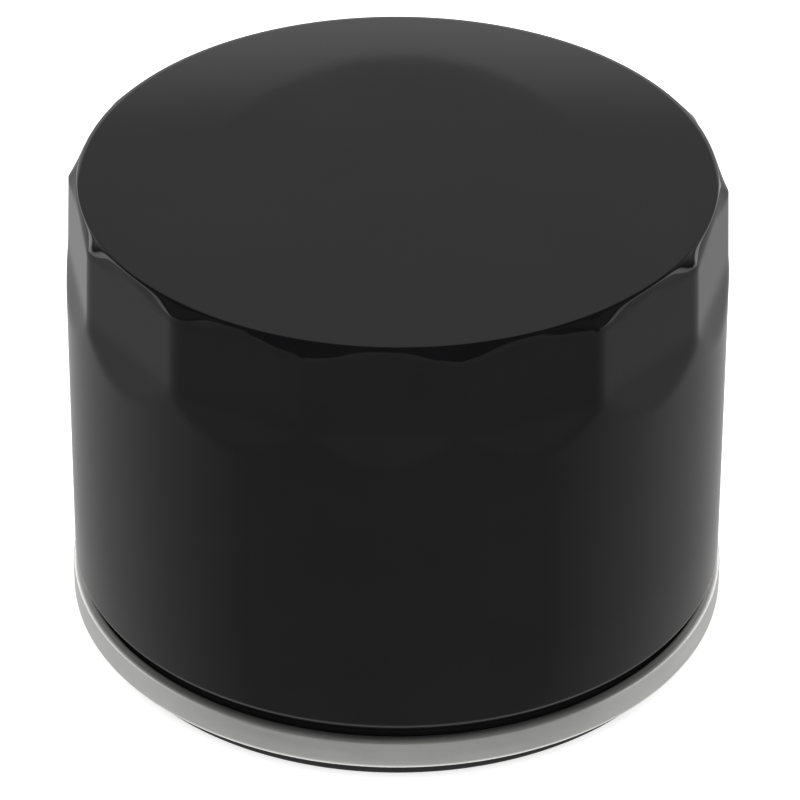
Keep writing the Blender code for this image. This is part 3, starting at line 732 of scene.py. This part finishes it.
def make_camera():
    """A long lens on the flat that faces -Y, from some 34 degrees above and 2 degrees toward +X."""
    azimuth, elevation, distance, tilt = CAMERA_AZIMUTH, CAMERA_ELEVATION, 600.0, 0.0035
    aim = Vector((0.33, 0.0, 27.0))
    back = Vector((
        math.sin(azimuth) * math.cos(elevation), -math.cos(azimuth) * math.cos(elevation), math.sin(elevation)
    ))
    data = bpy.data.cameras.new("camera")
    data.sensor_width = 36.0
    data.lens = 231.9
    camera = bpy.data.objects.new("camera", data)
    camera.location = (aim + back * distance) * MM
    turn = (-back).to_track_quat("-Z", "Y").to_matrix() @ Matrix.Rotation(tilt, 3, "Z")
    camera.rotation_euler = turn.to_euler()
    bpy.context.scene.collection.objects.link(camera)
    bpy.context.scene.camera = camera


def make_floor():
    """White table just under the gasket, seen from above only, so that the filter can be seen from below."""
    bm = bmesh.new()
    place = Matrix.Translation((0, 0, -0.02))
    bmesh.ops.create_grid(bm, x_segments=1, y_segments=1, size=3000.0, matrix=place)
    material = bpy.data.materials.new("white table")
    material.use_nodes = True
    tree = material.node_tree
    shader = tree.nodes["Principled BSDF"]
    shader.inputs["Base Color"].default_value = (0.9, 0.9, 0.9, 1.0)
    shader.inputs["Roughness"].default_value = 1.0
    shader.inputs["Specular IOR Level"].default_value = 0.0
    shader.inputs["Emission Color"].default_value = (1.0, 1.0, 1.0, 1.0)
    shader.inputs["Emission Strength"].default_value = 0.5
    side = add(tree, "NewGeometry")
    clear = add(tree, "BsdfTransparent")
    inputs = {"Fac": side.outputs["Backfacing"], 1: shader.outputs[0], 2: clear.outputs[0]}
    mix = add(tree, "MixShader", inputs)
    tree.links.new(mix.outputs[0], tree.nodes["Material Output"].inputs["Surface"])
    floor = to_object("floor", bm, material)
    floor.visible_glossy = floor.visible_diffuse = floor.visible_shadow = False


def grey_steps(tree, fac, steps):
    """A ramp of grey values: (place, value) pairs."""
    ramp = add(tree, "ValToRGB", {"Fac": fac})
    elements = ramp.color_ramp.elements
    while len(elements) < len(steps):
        elements.new(0.5)
    for element, (place, value) in zip(elements, steps):
        element.position = place
        element.color = (value, value, value, 1.0)
    return ramp.outputs["Color"]


def make_light():
    """A soft studio: white all round for matt surfaces, and for glossy ones big pale cards at the sides
    and behind, below eye level, with darkness overhead and in front."""
    world = bpy.data.worlds.new("studio")
    bpy.context.scene.world = world
    world.use_nodes = True
    tree = world.node_tree

    def calc(operation, a, b=0.0, c=0.0):
        return add(tree, "Math", {0: a, 1: b, 2: c}, operation=operation).outputs[0]

    def step(value, low, high, first=0.0, last=1.0):
        inputs = {"Value": value, "From Min": low, "From Max": high, "To Min": first, "To Max": last}
        return add(tree, "MapRange", inputs, interpolation_type="SMOOTHSTEP").outputs["Result"]

    look = add(tree, "Mapping", {"Vector": add(tree, "TexCoord").outputs["Generated"],
                                 "Rotation": (0.0, 0.0, -CAMERA_AZIMUTH)}).outputs[0]
    x, y, z = add(tree, "SeparateXYZ", {"Vector": look}).outputs
    rise = calc("MULTIPLY", calc("ARCSINE", z), 180 / math.pi)
    turn = calc("DIVIDE", calc("ARCTAN2", x, calc("MULTIPLY", y, -1.0)), math.pi)
    away = calc("ABSOLUTE", turn)

    cards = grey_steps(tree, away, [
        (0.0, 0.18), (0.30, 0.18), (0.45, 0.31), (0.58, 0.40), (0.79, 0.43), (0.87, 0.45), (1.0, 0.48)
    ])
    raised = calc("ADD", rise, step(away, 0.17, 0.27, 10.0, 0.0))
    lower = calc("MULTIPLY", cards, step(raised, 5.0, 14.0, 1.0, 0.0))
    lower = calc("MULTIPLY", lower, step(rise, -25.0, -6.0, 1.0, 1.3))
    for first, last in ((-0.29, -0.19), (0.26, 0.35)):
        flag = calc("MULTIPLY", step(turn, first, first + 0.015), step(turn, last - 0.015, last, 1.0, 0.0))
        flag = calc("MULTIPLY", flag, step(rise, -12.0, -8.0))
        lower = calc("MULTIPLY", lower, calc("SUBTRACT", 1.0, flag))
    ground = step(rise, -62.0, -46.0, 1.0, 0.0)
    lower = calc("ADD", lower, calc("MULTIPLY", ground, 0.55))

    rim = calc("MULTIPLY", step(away, 0.28, 0.80, 0.0, 1.8), step(rise, -1.0, 2.0))
    rim = calc("MULTIPLY", rim, step(rise, 9.0, 13.0, 1.0, 0.0))

    behind = calc("MULTIPLY", step(away, 0.55, 0.75), step(rise, 8.0, 14.0))
    behind = calc("MULTIPLY", behind, step(rise, 36.0, 40.0, 0.29, 0.0))
    centre = (0.0, math.cos(math.radians(32.72)), math.sin(math.radians(32.72)))
    apart = add(tree, "VectorMath", {0: look, 1: centre}, operation="DISTANCE").outputs["Value"]
    window = calc("MULTIPLY", step(apart, 0.0502, 0.0510), step(rise, 29.0, 30.7, 0.72, 0.0))
    window = calc("MULTIPLY", window, step(away, 0.60, 0.80))
    window = calc("MULTIPLY", window, step(rise, 14.0, 20.0))
    fill = calc("MULTIPLY", step(rise, 14.0, 18.0), step(rise, 36.0, 44.0, 0.08, 0.0))
    fill = calc("MULTIPLY", fill, step(away, 0.25, 0.40))

    total = lower
    for part in (rim, behind, window, fill):
        total = calc("ADD", total, part)

    path = add(tree, "LightPath")
    matt = calc("SUBTRACT", 1.0, path.outputs["Is Glossy Ray"])
    strength = calc("MULTIPLY_ADD", total, path.outputs["Is Glossy Ray"], calc("MULTIPLY", matt, 1.5))
    tree.links.new(strength, tree.nodes["Background"].inputs["Strength"])
    tree.nodes["Background"].inputs["Color"].default_value = (1.0, 1.0, 1.0, 1.0)


# ---------------------------------------------------------------- the whole filter

bpy.context.scene.view_settings.view_transform = "Standard"
make_camera()
make_floor()
make_light()

enamel, tin, zinc, wire_steel = black_enamel(), tinplate(), zinc_plate(), spring_wire()
nitrile = rubber("moulded nitrile rubber", "#0c0c0d", "#161617", 0.42, 0.35)
flap_rubber = rubber("moulded valve rubber", "#131315", "#1f1f22", 0.38, 0.5)
adhesive = plastisol()

make_can(enamel)
make_lid(tin)
make_sealant(compound())
make_gasket(nitrile)
make_base_plate(zinc)
make_valve(flap_rubber)
make_lower_cap(tin)
make_upper_cap(tin)
make_potting("lower_adhesive", "lower_potting_ring", LOWER_BED, LOWER_BED_TOP, True, adhesive)
make_potting("upper_adhesive", "upper_potting_ring", UPPER_BED, UPPER_BED_TOP, False, adhesive)
make_paper(filter_paper())
make_clip(zinc)
make_tube(zinc)
make_bypass_valve(zinc, nitrile)
make_springs(wire_steel)
